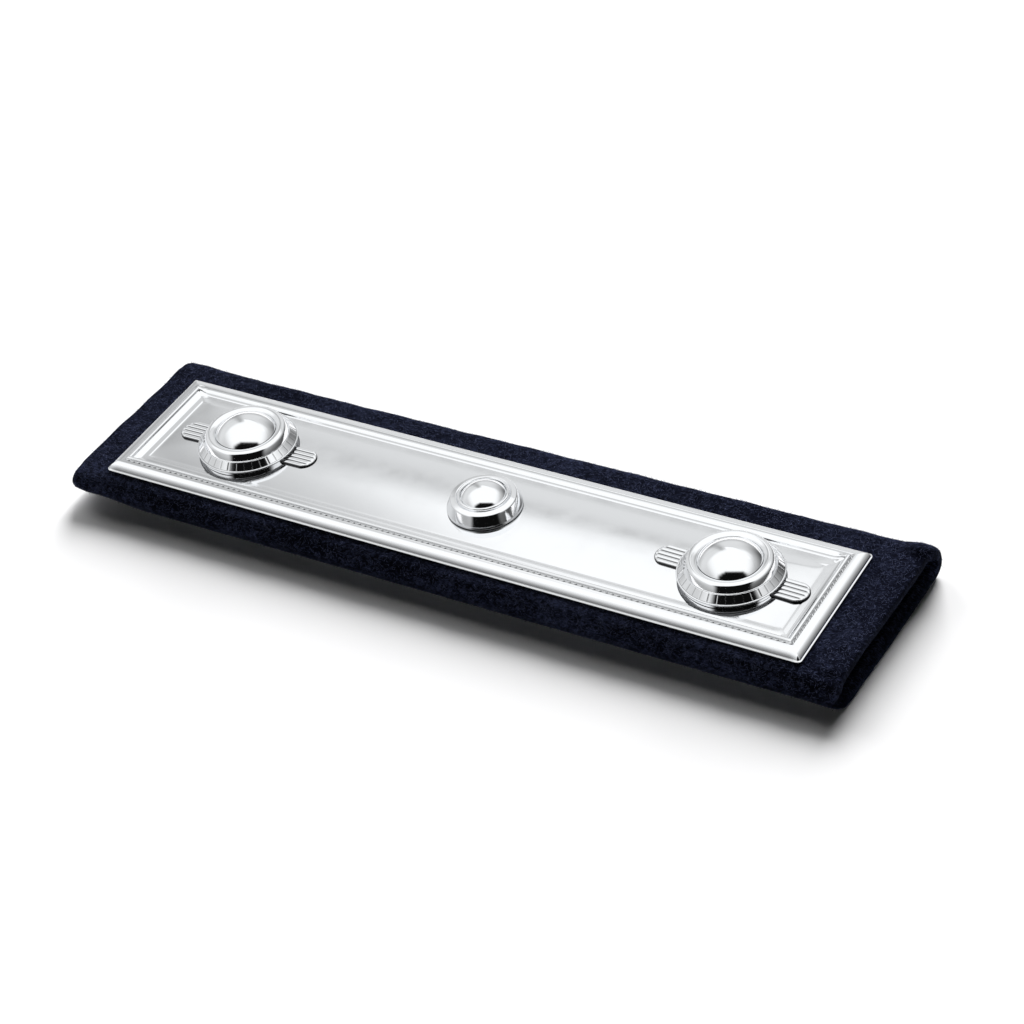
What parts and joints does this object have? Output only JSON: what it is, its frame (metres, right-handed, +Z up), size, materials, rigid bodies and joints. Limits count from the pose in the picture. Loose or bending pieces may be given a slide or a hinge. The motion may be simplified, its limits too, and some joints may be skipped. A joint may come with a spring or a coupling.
{
  "type": "shoulder board",
  "caption": "Slip-on shoulder board: flattened navy felt sleeve, open at both ends, with a bordered polished silver plate and domed bosses, the large ones on ribbed ears.",
  "frame": {"origin": "middle of the sleeve's underside, on the surface that the board lies on", "axes": "+X along the board to the mouth that the picture shows, +Y to the board's back edge, +Z up through the plate"},
  "size_m": [0.1298, 0.0331, 0.0104],
  "materials": {
    "felt": "dark navy wool felt with a short pile",
    "silver": "polished silver plating",
    "stud_metal": "plain turned, not polished"
  },
  "bodies": {
    "root": {"sleeve": "felt", "plate": "silver", "ears_left": "silver", "ears_right": "silver", "skirt_left": "silver", "skirt_right": "silver", "ring_left": "silver", "ring_right": "silver", "dome_left": "silver", "dome_right": "silver", "collar_middle": "silver", "lip_middle": "silver", "dome_middle": "silver", "stud_left": "stud_metal", "stud_middle": "stud_metal", "stud_right": "stud_metal"}
  },
  "joints": []
}
